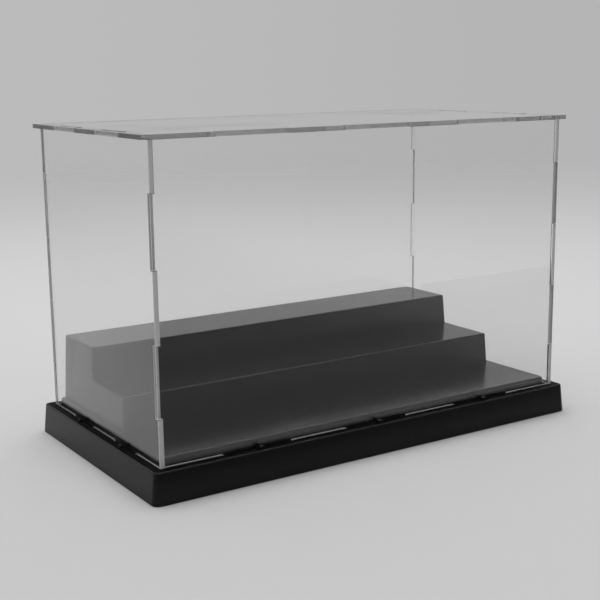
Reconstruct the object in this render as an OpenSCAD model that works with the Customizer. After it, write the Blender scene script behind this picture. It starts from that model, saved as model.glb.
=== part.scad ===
// Display case for action figures: a moulded base with a loose three-level riser,
// under a cover of five clear sheets that are finger-jointed at the corners.
// The front faces -Y, +X is along the width, +Z is up and the foot stands on z = 0.

/* [Base] */
// Width of the base at its foot
base_w = 300; // [220:1:420]
// Depth of the base at its foot
base_d = 161; // [135:1:260]
// Height of the ledge that the clear walls stand on
base_h = 18; // [12:0.5:40]
// How far each side of the base leans in between its foot and its rim
base_draft = 1.7; // [0.3:0.1:2.5]
// Corner radius of the base at its foot
base_corner_r = 4.5; // [2.5:0.5:20]
// Thickness of the base's skirt and top plate
base_wall = 2.5; // [1.5:0.1:4]
// Bevel along the upper rim of the base
rim_bevel = 0.7; // [0.2:0.1:1.2]
// Thickness of the ribs under the top plate
rib_t = 2; // [1:0.1:4]
// Distance between the middles of the ribs
rib_pitch = 98; // [50:1:150]
// Gap between the ribs and the surface that the base stands on
rib_foot_gap = 2; // [0.5:0.5:6]

/* [Clear sheets] */
// Thickness of the clear sheets
sheet_t = 2.5; // [1.5:0.1:5]
// Width of the ledge that shows outside the walls
ledge_w = 5.4; // [4.4:0.1:12]
// Height of the walls between the ledge and the top sheet
wall_h = 172.5; // [90:0.5:320]
// How far the top sheet reaches past each side wall
side_overhang = 4.2; // [1:0.1:8]
// How far the top sheet reaches past the front and back walls
front_overhang = 1.5; // [1:0.1:8]
// Height of each inner finger along a corner
finger_h = 39.5; // [15:0.5:60]
// Least height of the fingers at the two ends of a corner
finger_end_min = 12; // [5:0.5:30]
// Gap between neighbouring fingers
finger_gap = 0.1; // [0.05:0.05:0.5]

/* [Tabs and slots] */
// Width of the tabs on the front and back walls
long_tab_w = 45; // [15:0.5:60]
// Distance between the middles of those tabs
long_tab_pitch = 82; // [70:0.5:120]
// Width of the tabs on the side walls
short_tab_w = 29; // [12:0.5:40]
// Distance between the middles of those tabs
short_tab_pitch = 58; // [48:0.5:70]
// Least length of plain edge between the last tab and the corner
tab_edge_min = 20; // [8:0.5:40]
// How far the lower tabs reach below the ledge
tab_drop = 4.5; // [2:0.1:8]
// How far the upper tabs stand proud of the top sheet
tab_proud = 0.2; // [0:0.1:2]
// Clearance on each side of a tab in its slot
slot_gap = 0.2; // [0.1:0.05:0.4]

/* [Ledge nubs] */
// Diameter of the round nub beside each slot
nub_d = 3.2; // [1:0.1:3.5]
// Height of the nub above the ledge
nub_h = 2.2; // [0.5:0.1:4]
// Gap between the nub and the edge of its slot
nub_gap = 0.3; // [0.1:0.05:0.6]

/* [Riser] */
// Gap between the riser's foot and the side walls
side_gap = 1.2; // [0.5:0.1:5]
// Gap between the riser's foot and the front wall
front_gap = 2; // [0.5:0.1:5]
// Gap between the riser's foot and the back wall
back_gap = 0.8; // [0.5:0.1:5]
// Wall thickness of the riser
riser_wall = 2; // [1:0.1:3.5]
// Corner radius of the riser's floor at its foot
riser_corner_r = 1.2; // [1:0.1:10]
// Height of the riser's floor above the ledge
floor_h = 4.5; // [4:0.1:12]
// Height of each of the two steps
step_h = 20; // [10:0.5:35]
// Depth of the middle tread
mid_tread = 43; // [25:0.5:55]
// Depth of the top tread
top_tread = 41.6; // [25:0.1:55]
// How far the fronts and ends of the steps lean in over the height of one step
riser_lean = 1.1; // [0.2:0.1:3]
// How far the back of the steps leans in over the height of one step
rear_lean = 0.2; // [0.1:0.1:3]
// Width of floor that shows past each end of the steps
end_inset = 2.7; // [1:0.1:20]
// Width of floor that shows behind the steps
rear_inset = 0.2; // [0.2:0.1:5]

/* [Hidden] */
// Overlap that makes cuts run clear of a face and joins run into one
over = 1;
// Least radius of a round corner where the sides lean in further than it reaches
round_min = 0.2;
// Flat sides of a full circle, in general and at the small round corners of a block
$fn = 64;
corner_sides = 24;

// Base outline: lean of the skirt for each unit of height, and the rim that it meets
base_slope = base_draft / (base_h - rim_bevel);
rim_w = base_w - 2 * base_draft;
rim_d = base_d - 2 * base_draft;
inner_r_min = base_slope * base_h + over / 2;
rib_count = floor((base_w - 2 * base_wall - rib_t) / rib_pitch);

// Box of walls: outside width and depth, and the height of its top
case_w = rim_w - 2 * ledge_w;
case_d = rim_d - 2 * ledge_w;
wall_top = base_h + wall_h;

// Fingers: an odd number of inner ones, with two equal end ones
inner_fingers = 2 * max(floor((wall_h - 2 * finger_end_min - finger_h) / (2 * finger_h)), 0) + 1;
finger_end_h = (wall_h - inner_fingers * finger_h) / 2;

// Riser: where its floor, middle and top lie, and how far its faces and its back lean for each unit of height
riser_half_w = case_w / 2 - sheet_t - side_gap;
riser_half_d = (case_d - 2 * sheet_t - front_gap - back_gap) / 2;
mid_h = floor_h + step_h;
top_h = mid_h + step_h;
riser_slope = riser_lean / step_h;
rear_slope = rear_lean / step_h;

black_plastic = [0.09, 0.09, 0.1];
clear_sheet = [0.82, 0.9, 0.93, 0.3];

// Middles of the tabs along a wall of the given length
function tab_places(length, tab_w, pitch) =
    let (count = max(floor((length - 2 * tab_edge_min - tab_w) / pitch) + 1, 1))
    [for (i = [0 : count - 1]) (i - (count - 1) / 2) * pitch];

long_tabs = tab_places(case_w, long_tab_w, long_tab_pitch);
short_tabs = tab_places(case_d, short_tab_w, short_tab_pitch);

// Height of the boundary under finger i above the ledge
function finger_floor(i) = i == 0 ? 0 : finger_end_h + (i - 1) * finger_h;

// A side profile is a list of [distance in from the foot's outline, height] points, going up.
// Upright outline of a block with that profile on both sides, from its half width at the foot
function upright(half, profile) = concat(
    [for (p = profile) [half - p[0], p[1]]],
    [for (i = [len(profile) - 1 : -1 : 0]) [profile[i][0] - half, profile[i][1]]]
);

// Profile of a side that leans in by slope between heights z0 and z1
function leaning(slope, z0, z1) = [[slope * z0, z0], [slope * z1, z1]];

// The same profile with straight stretches added past both its ends
function run_past(profile) =
    let (last = profile[len(profile) - 1])
    concat([profile[0] - [0, over]], profile, [last + [0, over]]);

// What a corner loses to its rounding, for a foot radius r about the origin
module corner_waste(r, profile) {
    low = profile[0][1] - over;
    high = profile[len(profile) - 1][1] + over;
    edge = [for (p = run_past(profile)) [max(r - p[0], round_min), p[1]]];
    difference() {
        translate([0, 0, low + over / 2])
            cube([r + over, r + over, high - low - over]);
        rotate_extrude($fn = corner_sides)
            polygon(concat([[0, low]], edge, [[0, high]]));
    }
}

// Block with the same profile on all four sides and round corners, w by d at its foot
module profiled_block(w, d, r, profile) {
    difference() {
        intersection() {
            rotate([90, 0, 0])
                linear_extrude(d + 2 * over, center = true)
                    polygon(upright(w / 2, profile));
            rotate([90, 0, 90])
                linear_extrude(w + 2 * over, center = true)
                    polygon(upright(d / 2, run_past(profile)));
        }
        for (x = [0, 1], y = [0, 1])
            mirror([x, 0, 0])
                mirror([0, y, 0])
                    translate([w / 2 - r, d / 2 - r, 0])
                        corner_waste(r, profile);
    }
}

// Everything that repeats at the tabs of one long wall, then its mirror on the other wall
module at_long_tabs(offset_out) {
    for (side = [0, 1], x = long_tabs)
        mirror([0, side, 0])
            translate([x, -case_d / 2 - offset_out, 0])
                children();
}

// The same along the two side walls
module at_short_tabs(offset_out) {
    for (side = [0, 1], y = short_tabs)
        mirror([side, 0, 0])
            translate([-case_w / 2 - offset_out, y, 0])
                children();
}

// Cutters for the slots that take the wall tabs, between heights z0 and z1
module tab_slots(z0, z1) {
    at_long_tabs(-sheet_t / 2)
        translate([0, 0, (z0 + z1) / 2])
            cube([long_tab_w + 2 * slot_gap, sheet_t + 2 * slot_gap, z1 - z0], center = true);
    at_short_tabs(-sheet_t / 2)
        translate([0, 0, (z0 + z1) / 2])
            cube([sheet_t + 2 * slot_gap, short_tab_w + 2 * slot_gap, z1 - z0], center = true);
}

module nub() {
    translate([0, 0, base_h - over])
        cylinder(nub_h + over, d = nub_d);
}

module base_skin() {
    rim = base_h - rim_bevel;
    profiled_block(base_w, base_d, base_corner_r,
        [[0, 0], [base_draft, rim], [base_draft + rim_bevel, base_h]]);
}

// The space inside the base's skirt, or with a thinner wall a form that ends within the skirt
module base_space(wall, top) {
    profiled_block(base_w - 2 * wall, base_d - 2 * wall, max(base_corner_r - wall, inner_r_min),
        leaning(base_slope, -over, top));
}

module base_ribs() {
    rib_top = base_h - base_wall / 2;
    intersection() {
        base_space(base_wall / 2, base_h);
        for (i = [0 : rib_count - 1])
            translate([(i - (rib_count - 1) / 2) * rib_pitch - rib_t / 2, -base_d / 2, rib_foot_gap])
                cube([rib_t, base_d, rib_top - rib_foot_gap]);
    }
}

module base() {
    nub_out = slot_gap + nub_gap + nub_d / 2;
    color(black_plastic)
    difference() {
        union() {
            difference() {
                base_skin();
                base_space(base_wall, base_h - base_wall);
            }
            base_ribs();
            at_long_tabs(nub_out) nub();
            at_short_tabs(nub_out) nub();
        }
        tab_slots(base_h - tab_drop - slot_gap, base_h + over);
    }
}

// The riser's low floor block with its faces moved in by inset, from height z0 above the ledge
module floor_form(inset, z0) {
    profiled_block(2 * (riser_half_w - inset), 2 * (riser_half_d - inset),
        max(riser_corner_r - inset, riser_slope * floor_h + over / 2),
        leaning(riser_slope, z0, floor_h - inset));
}

// Side outline of the two steps, front to the left, with its faces moved in by inset, from height z0
module step_outline(inset, z0) {
    rear_edge = riser_half_d - riser_slope * floor_h - rear_inset;
    upper_front = rear_edge - rear_slope * (top_h - floor_h) - top_tread;
    lower_front = upper_front - riser_lean - mid_tread;
    // Where a front face that ends at y on its tread lies at height z, and where the back does
    function face(y, tread, z) = y + inset - riser_slope * (tread - z);
    function rear(z) = rear_edge - inset - rear_slope * (z - floor_h);
    mid_z = mid_h - inset;
    top_z = top_h - inset;
    polygon([
        [face(lower_front, mid_h, z0), z0],
        [face(lower_front, mid_h, mid_z), mid_z],
        [face(upper_front, top_h, mid_z), mid_z],
        [face(upper_front, top_h, top_z), top_z],
        [rear(top_z), top_z],
        [rear(z0), z0]
    ]);
}

// The two steps as one block, with its faces moved in by inset, rising out of the floor block
module step_form(inset) {
    z0 = (floor_h - inset) / 2;
    ends = leaning(riser_slope, z0, top_h);
    intersection() {
        rotate([90, 0, 90])
            linear_extrude(2 * riser_half_w, center = true)
                step_outline(inset, z0);
        rotate([90, 0, 0])
            linear_extrude(2 * riser_half_d, center = true)
                polygon(upright(riser_half_w - end_inset - inset, run_past(ends)));
    }
}

module riser() {
    color(black_plastic)
    translate([0, (front_gap - back_gap) / 2, base_h])
    difference() {
        union() {
            floor_form(0, 0);
            step_form(0);
        }
        union() {
            floor_form(riser_wall, -over);
            step_form(riser_wall);
        }
    }
}

// Flat outline of a wall, with z from the ledge: its fingers lie in every second row from first_row
module wall_outline(length, tabs, tab_w, first_row) {
    inner_w = length - 2 * sheet_t;
    last_row = inner_fingers + 1;
    translate([-inner_w / 2, 0])
        square([inner_w, wall_h]);
    for (i = [first_row : 2 : last_row]) {
        low = i == 0 ? 0 : finger_floor(i) + finger_gap / 2;
        high = i == last_row ? wall_h : finger_floor(i + 1) - finger_gap / 2;
        translate([-length / 2, low])
            square([length, high - low]);
    }
    for (x = tabs)
        translate([x - tab_w / 2, -tab_drop])
            square([tab_w, tab_drop + wall_h + sheet_t + tab_proud]);
}

// Front wall at the back of its own thickness, facing -Y
module long_wall() {
    color(clear_sheet)
    translate([0, -case_d / 2 + sheet_t, base_h])
        rotate([90, 0, 0])
            linear_extrude(sheet_t)
                wall_outline(case_w, long_tabs, long_tab_w, 1);
}

// Left wall, facing -X
module short_wall() {
    color(clear_sheet)
    translate([-case_w / 2, 0, base_h])
        rotate([90, 0, 90])
            linear_extrude(sheet_t)
                wall_outline(case_d, short_tabs, short_tab_w, 0);
}

module front_panel() {
    long_wall();
}

module back_panel() {
    mirror([0, 1, 0]) long_wall();
}

module left_panel() {
    short_wall();
}

module right_panel() {
    mirror([1, 0, 0]) short_wall();
}

module top_panel() {
    sheet_w = case_w + 2 * side_overhang;
    sheet_d = case_d + 2 * front_overhang;
    color(clear_sheet)
    difference() {
        translate([-sheet_w / 2, -sheet_d / 2, wall_top])
            cube([sheet_w, sheet_d, sheet_t]);
        tab_slots(wall_top - over, wall_top + sheet_t + over);
    }
}

base();
riser();
front_panel();
back_panel();
left_panel();
right_panel();
top_panel();
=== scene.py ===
"""Looks of the action figure display case: detailed meshes, materials, studio light and camera."""
import math

import bmesh
import bpy
from mathutils import Matrix, Vector


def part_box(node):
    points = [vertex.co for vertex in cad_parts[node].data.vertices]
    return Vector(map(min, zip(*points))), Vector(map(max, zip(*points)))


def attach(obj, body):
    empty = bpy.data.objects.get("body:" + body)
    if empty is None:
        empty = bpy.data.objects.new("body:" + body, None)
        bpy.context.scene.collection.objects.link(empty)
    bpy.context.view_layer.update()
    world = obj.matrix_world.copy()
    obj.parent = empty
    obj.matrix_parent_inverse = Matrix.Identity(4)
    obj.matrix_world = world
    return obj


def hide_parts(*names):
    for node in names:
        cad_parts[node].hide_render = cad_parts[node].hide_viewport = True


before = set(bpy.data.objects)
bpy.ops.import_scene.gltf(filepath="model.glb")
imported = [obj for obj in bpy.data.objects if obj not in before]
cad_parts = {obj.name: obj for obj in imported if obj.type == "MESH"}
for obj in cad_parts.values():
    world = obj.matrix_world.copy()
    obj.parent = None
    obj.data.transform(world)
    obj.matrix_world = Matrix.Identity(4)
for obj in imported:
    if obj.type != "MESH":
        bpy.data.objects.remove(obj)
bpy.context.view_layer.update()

MM = 0.001

# Sizes that the boxes of the nodes give
LEDGE_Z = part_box("riser")[0].z
SHEET_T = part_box("top_panel")[1].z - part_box("top_panel")[0].z
WALL_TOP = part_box("top_panel")[0].z
WALL_H = WALL_TOP - LEDGE_Z
CASE_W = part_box("front_panel")[1].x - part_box("front_panel")[0].x
CASE_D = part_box("left_panel")[1].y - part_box("left_panel")[0].y
TAB_DROP = LEDGE_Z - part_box("front_panel")[0].z
SHORT_TAB_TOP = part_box("left_panel")[1].z - LEDGE_Z
LONG_TAB_TOP = WALL_H + SHEET_T
NUB_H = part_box("base")[1].z - LEDGE_Z

# Sizes of the sheets
LONG_TABS = [x * MM for x in (-82, 0, 82)]
LONG_TAB_W = 45 * MM
SHORT_TABS = [y * MM for y in (-29, 29)]
SHORT_TAB_W = 29 * MM
SLOT_GAP = 0.2 * MM
FINGER_H = 39.5 * MM
INNER_FINGERS = 3
FINGER_GAP = 0.1 * MM
WALL_BEVEL = 0.2 * MM
TOP_BEVEL = 0.08 * MM

# Sizes of the base
BASE_DRAFT = 1.7 * MM
BASE_CORNER_R = 4.5 * MM
BASE_WALL = 2.5 * MM
RIM_R = 0.9 * MM
FOOT_EDGE_R = 0.4 * MM
RIB_T = 2 * MM
RIBS = [x * MM for x in (-49, 49)]
RIB_FOOT_GAP = 2 * MM
SLOT_BEVEL = 0.1 * MM
CORNER_R_MIN = 0.2 * MM
NUB_R = 1.6 * MM
NUB_GAP = 0.3 * MM
NUB_FOOT_R = 0.12 * MM
NUB_DOME_H = 0.9 * MM

# Sizes of the riser
RISER_WALL = 2 * MM
RISER_CORNER_R = 1.2 * MM
RISER_EDGE_R = 0.8 * MM
FLOOR_H = 4.5 * MM
STEP_H = 20 * MM
MID_TREAD = 43 * MM
TOP_TREAD = 41.6 * MM
STEP_LEAN = 1.1 * MM
END_INSET = 2.7 * MM
REAR_LEAN = 0.2 * MM
REAR_INSET = 0.2 * MM

# Fineness of the meshes; RIM_START is the angle at which the rim's arc leaves the leaning skirt,
# and ROUND the profile that makes a bevel round
ARC_STEPS = 8
FOOT_STEPS = 3
EDGE_STEPS = 4
NUB_SIDES = 24
DOME_STEPS = 5
RIM_START = 5
ROUND = 0.5
NEAR = 0.1 * MM
SMOOTH_BELOW = math.radians(30)

# How far a unit normal has to lie along a direction
SQUARE_TO = 0.99
MOSTLY = 0.5
HARDLY = 0.1

# Numbers of the materials in a piece's list, where 0 is its main one
RIM, LEDGE = 1, 2
LONG_EDGE = 1
# The cut finishes are copies of one finish, chosen by the way a cut faces, which paint light and shade on
# the edges: painted highlight lines along the bottoms and bevels, and painted light on front, left and
# rear cuts
CLEAR_FACE, CLEAR_CUT, FRONT_CUT_PAINTED_LIGHT, EDGE_PAINTED_HIGHLIGHT, SIDE_CUT_PAINTED_LIGHT, REAR_CUT_PAINTED_GLOW = range(6)

# Moulded plastic: a fine grain, and clouds that change its tone and multiply its roughness by CLOUD_SPREAD
GRAIN = {"Scale": 1500, "Detail": 2}
GRAIN_DEPTH = 0.03 * MM
CLOUD = {"Scale": 28, "Detail": 6}
CLOUD_RANGE = (0.3, 0.7)
CLOUD_SPREAD = (0.85, 1.15)

# Clear sheet: SHEET_DENSITY is the light it takes up per metre, which darkens what is seen through its
# cut edges, and the lines of the cut multiply their roughness by CUT_SPREAD
SHEET_IOR = 1.49
SHEET_DENSITY = 4
FACE_TINT = 0.975
FACE_LAMP_TINT = 0.96
WAVE = {"Scale": 14, "Detail": 1}
WAVE_STRENGTH = 0.1
WAVE_DEPTH = 0.2 * MM
CUT_TINT = 0.95
CUT_LAMP_TINT = 0.9
CUT_LINES = {"Scale": 900, "Distortion": 2, "Detail": 2}
CUT_LINE_STRENGTH = 0.15
CUT_LINE_DEPTH = 0.02 * MM
CUT_SPREAD = (0.6, 1.4)

# Camera, as fitted to the object's edges: place, lens and sensor in mm, and angles in degrees
CAMERA_PLACE = Vector((-394.36, -596.57, 226.68)) * MM
CAMERA_LENS = 69.01
CAMERA_SENSOR = 36
CAMERA_YAW = 33.077
CAMERA_DOWN = 11.624
CAMERA_ROLL = -0.677

# Ranges of the studio's light: heights and sides are parts of a unit direction
LIGHT_SIDE = (-0.45, 0.89, 0)
BACKDROP = 0.475
BACKDROP_SIDES = (0.25, 0.72)
BACKDROP_SHADES = (0.46, 0.495)
DIM_SIDES = (-0.85, 0.25)
DIM_LIGHT = 0.06
HORIZON = (-0.03, 0.06)
OPEN_SKY = (0.08, 0.18)
UPPER_SIDES = (0.1, 0.2)
UPPER_GAIN = 1.27
CEILING = (0.4, 0.85)
CEILING_LIGHT = 0.6
LAMP_PLACE = (0.1, 0.25, 1.1)
LAMP_SIZE = 1.3
LAMP_POWER = 5.0

# Floor, with a painted pool of light, and the card on it that paints shade into reflections: places and
# sizes in metres
# Way along which the floor's painted pool of light rises
PAINTED_POOL_WAY = (0.55, 0.835, 0)
FLOOR_SIDES = 96
FLOOR_R = 5
FLOOR_FADE = (0.6, 2.6)
# The floor's tone rises from front to rear over these ranges: a painted pool of light
FLOOR_NEAR_TO_FAR = (-0.3, 0.4)
FLOOR_TONE_AND_PAINTED_POOL = (0.57, 0.61)
CARD_MIDDLE = (0.2, -1.28)
CARD_HALF = 1.2
CARD_Z = 2 * MM
# How dark the card's painted shade is, and where it fades out to the right and towards the case
CARD_RIGHT_FADE = (0.14, 0.42)
CARD_REAR_FADE = (-0.16, -0.095)
CARD_PAINTED_SHADE = 0.56

# Bounce counts above this mean at least one bounce
NO_BOUNCE = 0.5


# Meshes

def link_object(name, data):
    """A new object in the scene."""
    made = bpy.data.objects.new(name, data)
    bpy.context.scene.collection.objects.link(made)
    return made


def mesh_from(bm, name, materials):
    """The finished mesh, with its materials."""
    mesh = bpy.data.meshes.new(name)
    bm.to_mesh(mesh)
    bm.free()
    for material in materials:
        mesh.materials.append(material)
    return mesh


def add_piece(bm, name, materials, body, node, smooth=True):
    """The piece that stands for a CAD node, made from a closed mesh."""
    bmesh.ops.recalc_face_normals(bm, faces=bm.faces)
    for face in bm.faces:
        face.smooth = smooth
    for edge in bm.edges:
        edge.smooth = edge.calc_face_angle(0) < SMOOTH_BELOW
    piece = link_object(name, mesh_from(bm, name, materials))
    if smooth:
        normals = piece.modifiers.new("normals", "WEIGHTED_NORMAL")
        normals.keep_sharp = True
    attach(piece, body)
    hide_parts(node)


def arc(centre, radius, start, end, steps):
    """Points on a flat arc, with its angles in degrees."""
    angles = [math.radians(start + (end - start) * i / steps) for i in range(steps + 1)]
    return [(centre[0] + radius * math.cos(a), centre[1] + radius * math.sin(a)) for a in angles]


def rounded_rectangle(half_w, half_d, radius):
    """Points round a rectangle, anticlockwise from its front right corner."""
    right, rear = half_w - radius, half_d - radius
    return (
        arc((right, -rear), radius, -90, 0, ARC_STEPS)
        + arc((right, rear), radius, 0, 90, ARC_STEPS)
        + arc((-right, rear), radius, 90, 180, ARC_STEPS)
        + arc((-right, -rear), radius, 180, 270, ARC_STEPS)
    )


def rectangle(centre, half_w, half_d):
    """Corners of a rectangle, anticlockwise from its front left one."""
    x, y = centre
    return [
        (x - half_w, y - half_d),
        (x + half_w, y - half_d),
        (x + half_w, y + half_d),
        (x - half_w, y + half_d),
    ]


def add_loop(bm, points, z):
    return [bm.verts.new((x, y, z)) for x, y in points]


def bridge(bm, low, high):
    """Faces between two loops with as many points."""
    pairs = zip(low, low[1:] + low[:1], high[1:] + high[:1], high)
    return [bm.faces.new(corners) for corners in pairs]


def edges_between(bm, loop):
    """Edges along a closed loop of points, made where there are none."""
    pairs = zip(loop, loop[1:] + loop[:1])
    return [bm.edges.get(pair) or bm.edges.new(pair) for pair in pairs]


def fill_flat(bm, loops):
    """Flat faces inside the first loop, with the other loops as holes in them."""
    edges = [edge for loop in loops for edge in edges_between(bm, loop)]
    made = bmesh.ops.triangle_fill(bm, use_beauty=True, edges=edges)["geom"]
    return [item for item in made if isinstance(item, bmesh.types.BMFace)]


def bevel(bm, edges, width, steps):
    """Takes the sharpness off edges. Returns the faces that this makes."""
    made = bmesh.ops.bevel(bm, geom=edges, offset=width, segments=steps, profile=ROUND, affect="EDGES")
    return made["faces"]


def paint(faces, index):
    """Gives faces one of their piece's materials."""
    for face in faces:
        face.material_index = index


def tab_places():
    """Middle, half width and half depth of each tab's section, and which way is outwards."""
    for side in (-1, 1):
        for x in LONG_TABS:
            yield (x, side * (CASE_D - SHEET_T) / 2), LONG_TAB_W / 2, SHEET_T / 2, (0, side)
        for y in SHORT_TABS:
            yield (side * (CASE_W - SHEET_T) / 2, y), SHEET_T / 2, SHORT_TAB_W / 2, (side, 0)


def add_nub(bm, x, y):
    """A domed nub on the ledge. Returns the loop at its foot."""
    straight = NUB_H - NUB_DOME_H
    profile = [(NUB_R + NUB_FOOT_R, 0), (NUB_R, NUB_FOOT_R), (NUB_R, straight)]
    for i in range(1, DOME_STEPS):
        angle = math.pi / 2 * i / DOME_STEPS
        profile.append((NUB_R * math.cos(angle), straight + NUB_DOME_H * math.sin(angle)))
    loops = []
    for radius, height in profile:
        ring = arc((x, y), radius, 0, 360, NUB_SIDES)[:-1]
        loops.append(add_loop(bm, ring, LEDGE_Z + height))
    for low, high in zip(loops, loops[1:]):
        bridge(bm, low, high)
    tip = bm.verts.new((x, y, LEDGE_Z + NUB_H))
    for a, b in zip(loops[-1], loops[-1][1:] + loops[-1][:1]):
        bm.faces.new((a, b, tip))
    return loops[0]


def add_rib(bm, x, half_d, z0, z1):
    """A rib from front to back under the top plate, whose ends and top lie within the skin."""
    outline = rectangle((x, 0), RIB_T / 2, half_d)
    low, high = add_loop(bm, outline, z0), add_loop(bm, outline, z1)
    bridge(bm, low, high)
    bm.faces.new(low)
    bm.faces.new(high)


def make_base(materials):
    """Hollow plinth: leaning skirt with a round rim, a ledge with slots and nubs, and ribs underneath."""
    low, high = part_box("base")
    half_w, half_d = (high.x - low.x) / 2, (high.y - low.y) / 2
    slope = BASE_DRAFT / LEDGE_Z
    ceiling = LEDGE_Z - BASE_WALL
    bm = bmesh.new()

    def ring(inset, z):
        radius = max(BASE_CORNER_R - inset, CORNER_R_MIN)
        return add_loop(bm, rounded_rectangle(half_w - inset, half_d - inset, radius), z)

    # From the ceiling of the hollow down its walls, round the foot and up the outside to the ledge
    inner = [ring(BASE_WALL + slope * z, z) for z in (ceiling, 0)]
    foot = [
        ring(FOOT_EDGE_R - x, FOOT_EDGE_R + z)
        for x, z in arc((0, 0), FOOT_EDGE_R, -90, 0, FOOT_STEPS)
    ]
    rim = [
        ring(BASE_DRAFT + RIM_R - x, LEDGE_Z - RIM_R + z)
        for x, z in arc((0, 0), RIM_R, RIM_START, 90, ARC_STEPS)
    ]
    skirt = inner + foot + rim[:1]
    for lower, upper in zip(skirt, skirt[1:]):
        bridge(bm, lower, upper)
    for lower, upper in zip(rim, rim[1:]):
        paint(bridge(bm, lower, upper), RIM)

    # Slots through the plate and nubs on the ledge
    ceiling_loops, ledge_loops = [inner[0]], [rim[-1]]
    for (x, y), tab_w, tab_d, (out_x, out_y) in tab_places():
        wide, deep = tab_w + SLOT_GAP, tab_d + SLOT_GAP
        loops = [
            add_loop(bm, rectangle((x, y), wide + SLOT_BEVEL, deep + SLOT_BEVEL), LEDGE_Z),
            add_loop(bm, rectangle((x, y), wide, deep), LEDGE_Z - SLOT_BEVEL),
            add_loop(bm, rectangle((x, y), wide, deep), ceiling),
        ]
        for upper, lower in zip(loops, loops[1:]):
            bridge(bm, upper, lower)
        nub_out = SHEET_T / 2 + SLOT_GAP + NUB_GAP + NUB_R
        nub_foot = add_nub(bm, x + out_x * nub_out, y + out_y * nub_out)
        ceiling_loops.append(loops[-1])
        ledge_loops += [loops[0], nub_foot]
    # The ledge gets a darker, much less shiny copy of the base plastic: painted shade on the ledge
    paint(fill_flat(bm, ledge_loops), LEDGE)
    fill_flat(bm, ceiling_loops)
    for x in RIBS:
        add_rib(bm, x, half_d - BASE_WALL, RIB_FOOT_GAP, LEDGE_Z - BASE_WALL / 2)
    add_piece(bm, "plinth", materials, "base", "base")


def riser_corners(inset):
    """Corner points on the right of the riser, named by place, with its faces moved in by inset."""
    low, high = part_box("riser")
    half_w, half_d = (high.x - low.x) / 2, (high.y - low.y) / 2
    middle_y = (high.y + low.y) / 2
    slope, rear_slope = STEP_LEAN / STEP_H, REAR_LEAN / STEP_H
    mid, top = FLOOR_H + STEP_H, FLOOR_H + 2 * STEP_H
    rear_edge = half_d - slope * FLOOR_H - REAR_INSET
    upper_front = rear_edge - rear_slope * (top - FLOOR_H) - TOP_TREAD
    lower_front = upper_front - STEP_LEAN - MID_TREAD
    step_end = half_w - END_INSET

    def end(z):
        return step_end - inset - slope * z

    def front(edge_y, edge_z, z):
        return edge_y + inset - slope * (edge_z - z)

    def rear(z):
        return rear_edge - inset - rear_slope * (z - FLOOR_H)

    floor_z, mid_z, top_z = FLOOR_H - inset, mid - inset, top - inset
    rows = {}
    for level, z in (("foot", 0), ("floor", floor_z)):
        x, y = half_w - inset - slope * z, half_d - inset - slope * z
        rows[level + "_front"] = (x, -y, z)
        rows[level + "_rear"] = (x, y, z)
    rows["step_front"] = (end(floor_z), front(lower_front, mid, floor_z), floor_z)
    rows["step_rear"] = (end(floor_z), rear(floor_z), floor_z)
    rows["mid_front"] = (end(mid_z), front(lower_front, mid, mid_z), mid_z)
    rows["mid_rear"] = (end(mid_z), front(upper_front, top, mid_z), mid_z)
    rows["top_front"] = (end(top_z), front(upper_front, top, top_z), top_z)
    rows["top_rear"] = (end(top_z), rear(top_z), top_z)
    return {name: (x, y + middle_y, z + LEDGE_Z) for name, (x, y, z) in rows.items()}


def add_riser_shell(bm, inset):
    """One skin of the riser, open below. Returns its corner points by name and side."""
    strips = [
        ("foot_front", "floor_front"),
        ("floor_front", "step_front"),
        ("step_front", "mid_front"),
        ("mid_front", "mid_rear"),
        ("mid_rear", "top_front"),
        ("top_front", "top_rear"),
        ("top_rear", "step_rear"),
        ("step_rear", "floor_rear"),
        ("floor_rear", "foot_rear"),
    ]
    ends = [
        ("foot_front", "foot_rear", "floor_rear", "floor_front"),
        ("floor_front", "floor_rear", "step_rear", "step_front"),
        ("step_front", "step_rear", "top_rear", "top_front", "mid_rear", "mid_front"),
    ]
    shell = {}
    for name, (x, y, z) in riser_corners(inset).items():
        for side in (-1, 1):
            shell[name, side] = bm.verts.new((side * x, y, z))
    for a, b in strips:
        bm.faces.new([shell[a, -1], shell[a, 1], shell[b, 1], shell[b, -1]])
    for names in ends:
        for side in (-1, 1):
            bm.faces.new([shell[name, side] for name in names])
    return shell


def edges_within(bm, corners):
    """Edges with both ends among these points."""
    return [edge for edge in bm.edges if set(edge.verts) <= set(corners)]


def is_upright(edge):
    """True for the riser's four corner edges between its foot and its floor."""
    low, high = sorted(v.co.z - LEDGE_Z for v in edge.verts)
    return abs(low) < NEAR and abs(high - FLOOR_H) < NEAR


def is_outside(edge):
    """True for an edge of the riser's outer skin that stands out, not one in an inner corner."""
    middle = Vector((0, 0, LEDGE_Z))
    facing_out = all(face.normal.dot(face.calc_center_median() - middle) > 0 for face in edge.link_faces)
    return facing_out and edge.is_convex


def make_riser(materials):
    """Hollow stepped insert with round edges, duller along those that run lengthwise."""
    bm = bmesh.new()
    outer = add_riser_shell(bm, 0)
    inner = add_riser_shell(bm, RISER_WALL)
    around = [("foot_front", -1), ("foot_front", 1), ("foot_rear", 1), ("foot_rear", -1)]
    bridge(bm, [outer[key] for key in around], [inner[key] for key in around])
    bmesh.ops.recalc_face_normals(bm, faces=bm.faces)
    uprights = [edge for edge in edges_within(bm, outer.values()) if is_upright(edge)]
    bevel(bm, uprights, RISER_CORNER_R, ARC_STEPS)
    sharp = [edge for edge in bm.edges if edge.calc_face_angle(0) > SMOOTH_BELOW and is_outside(edge)]
    rounded = bevel(bm, sharp, RISER_EDGE_R, EDGE_STEPS)
    bm.normal_update()
    paint([face for face in rounded if abs(face.normal.x) < HARDLY], LONG_EDGE)
    add_piece(bm, "stepped_riser", materials, "riser", "riser")


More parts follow.
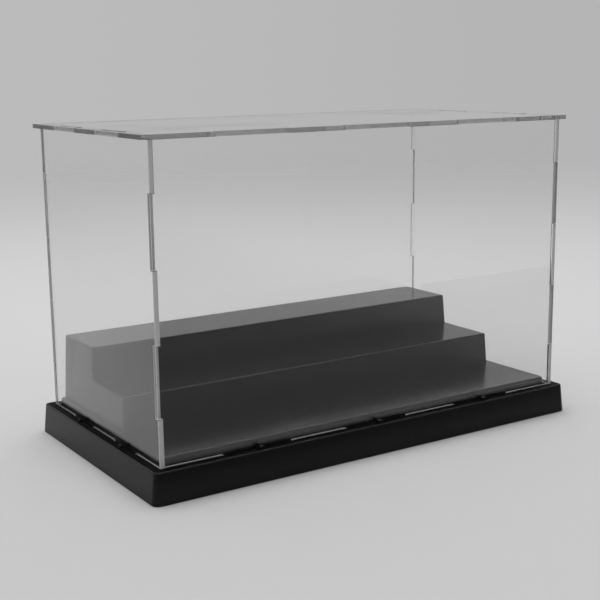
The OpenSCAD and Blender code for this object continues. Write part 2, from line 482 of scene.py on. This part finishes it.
def wall_outline(length, tabs, tab_w, tab_top, first_row):
    """Points round a wall sheet, as (along, up from the ledge).

    Its fingers fill every second row, counted from below, so that first_row is one of them.
    """
    last_row = INNER_FINGERS + 1
    end_h = (WALL_H - INNER_FINGERS * FINGER_H) / 2
    half = length / 2

    def reach(row):
        return half if (row - first_row) % 2 == 0 else half - SHEET_T - FINGER_GAP / 2

    right = [(reach(0), 0)]
    for row in range(last_row):
        boundary = end_h + row * FINGER_H
        shift = -FINGER_GAP / 2 if reach(row) > reach(row + 1) else FINGER_GAP / 2
        right += [(reach(row), boundary + shift), (reach(row + 1), boundary + shift)]
    right.append((reach(last_row), WALL_H))
    left = [(-x, z) for x, z in reversed(right)]
    top, bottom = [], []
    for x in tabs:
        near, far = x - tab_w / 2, x + tab_w / 2
        bottom += [(near, 0), (near, -TAB_DROP), (far, -TAB_DROP), (far, 0)]
        top = [(far, WALL_H), (far, tab_top), (near, tab_top), (near, WALL_H)] + top
    return bottom + right + top + left


def bevel_cut_edges(bm, width):
    """Takes the sharpness off every edge of a sheet."""
    bmesh.ops.recalc_face_normals(bm, faces=bm.faces)
    edges = [edge for edge in bm.edges if edge.calc_face_angle(0) > SMOOTH_BELOW]
    bevel(bm, edges, width, 1)


def wall_finish(normal, outwards):
    """Number of the material on a wall's face, by the way that it faces. The cut edges all have one cut
    finish; the copies of it that they get by the way they face paint light and shade on them: a painted
    highlight on the bottoms and bevels, and painted light on the cuts that face front, left and rear.
    """
    across = abs(normal.dot(outwards))
    if across > SQUARE_TO:
        return CLEAR_FACE
    if normal.z < -MOSTLY:
        return EDGE_PAINTED_HIGHLIGHT
    if max(normal.x, normal.z) > MOSTLY:
        return CLEAR_CUT
    if across > HARDLY:
        return EDGE_PAINTED_HIGHLIGHT
    if normal.y > MOSTLY:
        return REAR_CUT_PAINTED_GLOW
    return FRONT_CUT_PAINTED_LIGHT if normal.y < -MOSTLY else SIDE_CUT_PAINTED_LIGHT


def make_wall(name, node, materials, outline, along, outwards, outside):
    """A wall sheet: its outline stands on the ledge, with its outer face at a distance from the middle."""
    along, outwards = Vector(along), Vector(outwards)
    bm = bmesh.new()
    faces = []
    for distance in (outside, outside - SHEET_T):
        verts = []
        for s, z in outline:
            place = along * s + outwards * distance + Vector((0, 0, LEDGE_Z + z))
            verts.append(bm.verts.new(place))
        bm.faces.new(verts)
        faces.append(verts)
    bridge(bm, *faces)
    bevel_cut_edges(bm, WALL_BEVEL)
    for face in bm.faces:
        face.material_index = wall_finish(face.normal, outwards)
    add_piece(bm, name, materials, "walls", node, smooth=False)


def make_walls(materials):
    long_wall = wall_outline(CASE_W, LONG_TABS, LONG_TAB_W, LONG_TAB_TOP, first_row=1)
    short_wall = wall_outline(CASE_D, SHORT_TABS, SHORT_TAB_W, SHORT_TAB_TOP, first_row=0)
    make_wall("front_sheet", "front_panel", materials, long_wall, (1, 0, 0), (0, -1, 0), CASE_D / 2)
    make_wall("back_sheet", "back_panel", materials, long_wall, (1, 0, 0), (0, 1, 0), CASE_D / 2)
    make_wall("left_sheet", "left_panel", materials, short_wall, (0, 1, 0), (-1, 0, 0), CASE_W / 2)
    make_wall("right_sheet", "right_panel", materials, short_wall, (0, 1, 0), (1, 0, 0), CASE_W / 2)


def make_top(materials):
    """Top sheet with a slot for each upper tab."""
    low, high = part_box("top_panel")
    middle = ((low.x + high.x) / 2, (low.y + high.y) / 2)
    outlines = [rectangle(middle, (high.x - low.x) / 2, (high.y - low.y) / 2)]
    for place, tab_w, tab_d, _ in tab_places():
        outlines.append(rectangle(place, tab_w + SLOT_GAP, tab_d + SLOT_GAP))
    bm = bmesh.new()
    levels = [[add_loop(bm, outline, z) for outline in outlines] for z in (low.z, high.z)]
    for lower, upper in zip(*levels):
        bridge(bm, lower, upper)
    for loops in levels:
        fill_flat(bm, loops)
    bevel_cut_edges(bm, TOP_BEVEL)
    paint([face for face in bm.faces if abs(face.normal.z) < SQUARE_TO], CLEAR_CUT)
    add_piece(bm, "top_sheet", materials, "top", "top_panel", smooth=False)


# Nodes of the materials and of the world

def add(tree, kind, values=None, **settings):
    """A new node, with its settings and the values or links of its input sockets."""
    made = tree.nodes.new("ShaderNode" + kind)
    for name, value in settings.items():
        setattr(made, name, value)
    for socket, value in (values or {}).items():
        if isinstance(value, bpy.types.NodeSocket):
            tree.links.new(value, made.inputs[socket])
        else:
            made.inputs[socket].default_value = value
    return made


def combine(tree, operation, first, second, clamp=False):
    """The result of a Math node with two values."""
    return add(tree, "Math", {0: first, 1: second}, operation=operation, use_clamp=clamp).outputs[0]


def blend(tree, factor, first, second):
    """A value that goes from the first to the second as the factor goes from 0 to 1."""
    return add(tree, "Mix", {"Factor": factor, 2: first, 3: second}).outputs[0]


def part_along(tree, vector, direction):
    """How far a vector goes in a direction."""
    made = add(tree, "VectorMath", {0: vector, 1: direction}, operation="DOT_PRODUCT")
    return made.outputs["Value"]


def ramp(tree, value, source, target, shape="SMOOTHSTEP"):
    """A ramp of a value from one range to another."""
    made = add(tree, "MapRange", {
        "Value": value,
        "From Min": source[0],
        "From Max": source[1],
        "To Min": target[0],
        "To Max": target[1],
    }, interpolation_type=shape)
    return made.outputs["Result"]


def mix_shaders(tree, factor, first, second):
    """A surface that goes from the first to the second as the factor goes from 0 to 1."""
    return add(tree, "MixShader", {"Fac": factor, 1: first, 2: second}).outputs["Shader"]


def new_material(name):
    material = bpy.data.materials.new(name)
    material.use_nodes = True
    material.node_tree.nodes.clear()
    return material, material.node_tree


def grey(level):
    return (level, level, level, 1)


# Materials

def moulded_plastic(name, dark, light, roughness, shine, grain):
    """Black moulded plastic: fine grain, cloudy tone and patches that are a little duller."""
    material, tree = new_material(name)
    place = add(tree, "TexCoord").outputs["Object"]
    specks = add(tree, "TexNoise", {"Vector": place, **GRAIN}).outputs["Fac"]
    cloud = add(tree, "TexNoise", {"Vector": place, **CLOUD}).outputs["Fac"]
    tone = add(tree, "Mix", {"Factor": cloud, 6: grey(dark), 7: grey(light)}, data_type="RGBA")
    rough = ramp(tree, cloud, CLOUD_RANGE, [roughness * k for k in CLOUD_SPREAD], shape="LINEAR")
    bump = add(tree, "Bump", {"Height": specks, "Strength": grain, "Distance": GRAIN_DEPTH})
    skin = add(tree, "BsdfPrincipled", {
        "Base Color": tone.outputs[2],
        "Roughness": rough,
        "Specular IOR Level": shine,
        "Normal": bump.outputs["Normal"],
    })
    add(tree, "OutputMaterial", {"Surface": skin.outputs["BSDF"]})
    return material


def lets_lamps_through(tree, surface, tint):
    """Glass that light from lamps and from matt surfaces crosses unbent."""
    path = add(tree, "LightPath").outputs
    passing = combine(tree, "MAXIMUM", path["Is Shadow Ray"], path["Is Diffuse Ray"])
    clear = add(tree, "BsdfTransparent", {"Color": grey(tint)})
    both = mix_shaders(tree, passing, surface, clear.outputs["BSDF"])
    inside = add(tree, "VolumeAbsorption", {"Color": grey(0), "Density": SHEET_DENSITY})
    add(tree, "OutputMaterial", {"Surface": both, "Volume": inside.outputs["Volume"]})


def clear_sheet():
    """Faces of the clear sheet, which are hardly wavy."""
    material, tree = new_material("clear_sheet_face")
    place = add(tree, "TexCoord").outputs["Object"]
    wave = add(tree, "TexNoise", {"Vector": place, **WAVE}).outputs["Fac"]
    bump = add(tree, "Bump", {"Height": wave, "Strength": WAVE_STRENGTH, "Distance": WAVE_DEPTH})
    glass = add(tree, "BsdfPrincipled", {
        "Base Color": grey(FACE_TINT),
        "Roughness": 0.0,
        "IOR": SHEET_IOR,
        "Transmission Weight": 1.0,
        "Normal": bump.outputs["Normal"],
    })
    lets_lamps_through(tree, glass.outputs["BSDF"], FACE_LAMP_TINT)
    return material


def cut_edge(name, tone, clearness, roughness, frosting="BsdfDiffuse"):
    """Cut edges of the clear sheet: fine lines, with frosting over the share that isn't clear. Copies that
    differ in frosting and tone by the way the edges face paint light and shade on them.
    """
    material, tree = new_material(name)
    place = add(tree, "TexCoord").outputs["Object"]
    lines = add(tree, "TexWave", {"Vector": place, **CUT_LINES}, bands_direction="DIAGONAL").outputs["Fac"]
    rough = ramp(tree, lines, (0, 1), [roughness * k for k in CUT_SPREAD], shape="LINEAR")
    bump = add(tree, "Bump", {"Height": lines, "Strength": CUT_LINE_STRENGTH, "Distance": CUT_LINE_DEPTH})
    glass = add(tree, "BsdfPrincipled", {
        "Base Color": grey(CUT_TINT),
        "Roughness": rough,
        "IOR": SHEET_IOR,
        "Transmission Weight": 1.0,
        "Normal": bump.outputs["Normal"],
    })
    frost = add(tree, frosting, {"Color": grey(tone)})
    surface = mix_shaders(tree, clearness, frost.outputs["BSDF"], glass.outputs["BSDF"])
    lets_lamps_through(tree, surface, CUT_LAMP_TINT)
    return material


# Studio

def make_camera():
    data = bpy.data.cameras.new("camera")
    data.sensor_width = CAMERA_SENSOR
    data.lens = CAMERA_LENS
    camera = link_object("camera", data)
    turn = Matrix.Rotation(math.radians(-CAMERA_YAW), 4, "Z")
    tilt = Matrix.Rotation(math.radians(90 - CAMERA_DOWN), 4, "X")
    roll = Matrix.Rotation(math.radians(CAMERA_ROLL), 4, "Z")
    camera.matrix_world = Matrix.Translation(CAMERA_PLACE) @ turn @ tilt @ roll
    bpy.context.scene.camera = camera


def make_floor():
    """Pale floor that fades into the backdrop far from the object, with a painted pool of light that makes
    it lighter towards the rear.
    """
    bm = bmesh.new()
    bmesh.ops.create_circle(bm, cap_ends=True, segments=FLOOR_SIDES, radius=FLOOR_R)
    material, tree = new_material("floor")
    place = add(tree, "TexCoord").outputs["Object"]
    reach = add(tree, "VectorMath", {0: place}, operation="LENGTH").outputs["Value"]
    fade = ramp(tree, reach, FLOOR_FADE, (0, 1))
    # Painted pool of light: the floor's tone rises from the front towards the rear
    tone = ramp(tree, part_along(tree, place, PAINTED_POOL_WAY), FLOOR_NEAR_TO_FAR, FLOOR_TONE_AND_PAINTED_POOL)
    paper = add(tree, "BsdfDiffuse", {"Color": tone})
    gone = add(tree, "BsdfTransparent")
    both = mix_shaders(tree, fade, paper.outputs["BSDF"], gone.outputs["BSDF"])
    add(tree, "OutputMaterial", {"Surface": both})
    floor = link_object("floor", mesh_from(bm, "floor", [material]))


def make_world():
    """Soft light from all round, dim at the front right, and a backdrop that is lighter on the left."""
    world = bpy.data.worlds.new("studio")
    bpy.context.scene.world = world
    world.use_nodes = True
    tree = world.node_tree
    tree.nodes.clear()
    way = add(tree, "TexCoord").outputs["Generated"]
    left = part_along(tree, way, LIGHT_SIDE)
    height = add(tree, "SeparateXYZ", {0: way}).outputs["Z"]
    path = add(tree, "LightPath").outputs
    sharp = combine(tree, "SUBTRACT", path["Glossy Depth"], path["Diffuse Depth"])
    mirrored = combine(tree, "GREATER_THAN", sharp, NO_BOUNCE)

    # The sides, which are even below the horizon and where the sky is mirrored
    below = ramp(tree, height, HORIZON, (1, 0))
    sky = ramp(tree, height, OPEN_SKY, (0, 1))
    even = combine(tree, "MAXIMUM", combine(tree, "MULTIPLY", mirrored, sky), below)
    dim = ramp(tree, left, DIM_SIDES, (DIM_LIGHT, BACKDROP))
    around = blend(tree, even, dim, BACKDROP)
    lifted = ramp(tree, height, UPPER_SIDES, (1, UPPER_GAIN))
    sides = combine(tree, "MULTIPLY", around, lifted)

    # The ceiling, which isn't mirrored
    above = ramp(tree, height, CEILING, (0, CEILING_LIGHT))
    overhead = blend(tree, mirrored, above, 0.0)
    light = combine(tree, "ADD", sides, overhead)
    studio = add(tree, "Background", {"Color": grey(1), "Strength": light})

    # The backdrop, which the camera sees straight on and through the sheets
    shade = ramp(tree, left, BACKDROP_SIDES, BACKDROP_SHADES)
    backdrop = add(tree, "Background", {"Color": grey(1), "Strength": shade})
    through = combine(tree, "SUBTRACT", path["Is Transmission Ray"], mirrored, clamp=True)
    seen = combine(tree, "MAXIMUM", path["Is Camera Ray"], through)
    both = mix_shaders(tree, seen, studio.outputs["Background"], backdrop.outputs["Background"])
    add(tree, "OutputWorld", {"Surface": both})


def make_shade_card():
    """Card before the object, seen only in reflections, where it paints shade onto the mirrored floor; the
    painted shade fades out to the right and the rear.
    """
    bm = bmesh.new()
    bm.faces.new(add_loop(bm, rectangle(CARD_MIDDLE, CARD_HALF, CARD_HALF), CARD_Z))
    material, tree = new_material("painted_reflection_shade")
    place = add(tree, "SeparateXYZ", {0: add(tree, "TexCoord").outputs["Object"]}).outputs
    # Painted shade in reflections: darkest at the front left, fading out to the right and near the case
    across = ramp(tree, place["X"], CARD_RIGHT_FADE, (CARD_PAINTED_SHADE, 0))
    away = ramp(tree, place["Y"], CARD_REAR_FADE, (1, 0))
    dark = combine(tree, "MULTIPLY", across, away)
    depth = add(tree, "LightPath").outputs["Glossy Depth"]
    mirrored = combine(tree, "GREATER_THAN", depth, NO_BOUNCE)
    shown = combine(tree, "MULTIPLY", dark, mirrored)
    film = add(tree, "BsdfTransparent", {"Color": combine(tree, "SUBTRACT", 1.0, shown)})
    add(tree, "OutputMaterial", {"Surface": film.outputs["BSDF"]})
    card = link_object("painted_reflection_shade", mesh_from(bm, "painted_reflection_shade", [material]))
    card.visible_camera = False
    card.visible_diffuse = False
    card.visible_shadow = False


def make_lamp():
    """One large soft lamp above the object, a little behind it and to its right, which isn't mirrored."""
    data = bpy.data.lights.new("soft_lamp", "AREA")
    data.shape = "DISK"
    data.size = LAMP_SIZE
    data.energy = LAMP_POWER
    lamp = link_object("soft_lamp", data)
    lamp.location = LAMP_PLACE
    lamp.rotation_euler = (-lamp.location).to_track_quat("-Z", "Y").to_euler()
    lamp.visible_glossy = False


make_camera()
make_floor()
make_world()
make_shade_card()
make_lamp()

base_plastic = [
    moulded_plastic("base_plastic", dark=0.003, light=0.005, roughness=0.14, shine=0.17, grain=0.05),
    moulded_plastic("base_plastic_rim", dark=0.003, light=0.005, roughness=0.2, shine=0.22, grain=0.03),
    # Darker and much less shiny than the rest of the base: painted shade on the ledge
    moulded_plastic("base_plastic_ledge_painted_shade", dark=0.001, light=0.002, roughness=0.4, shine=0.02, grain=0.03),
]
riser_plastic = [
    moulded_plastic("riser_plastic", dark=0.002, light=0.003, roughness=0.19, shine=0.5, grain=0.0),
    moulded_plastic("riser_plastic_edge", dark=0.002, light=0.003, roughness=0.32, shine=0.3, grain=0.0),
]
sheet = [
    clear_sheet(),
    # The cut edges are one finish; these copies differ in frosting and tone only to paint light and shade
    # on edges that face different ways
    cut_edge("sheet_clear_cut", tone=0.95, clearness=0.97, roughness=0.06),
    cut_edge("sheet_front_cut_painted_light", tone=0.9, clearness=0.45, roughness=0.2),
    cut_edge("sheet_edge_painted_highlight", tone=0.95, clearness=0.25, roughness=0.3),
    cut_edge("sheet_side_cut_painted_light", tone=0.9, clearness=0.74, roughness=0.1),
    cut_edge("sheet_rear_cut_painted_glow", tone=0.9, clearness=0.3, roughness=0.2, frosting="BsdfTranslucent"),
]

make_base(base_plastic)
make_riser(riser_plastic)
make_walls(sheet)
make_top(sheet)

scene = bpy.context.scene
scene.view_settings.view_transform = "Standard"
scene.cycles.max_bounces = 48
scene.cycles.glossy_bounces = 32
scene.cycles.transmission_bounces = 24
scene.cycles.transparent_max_bounces = 32
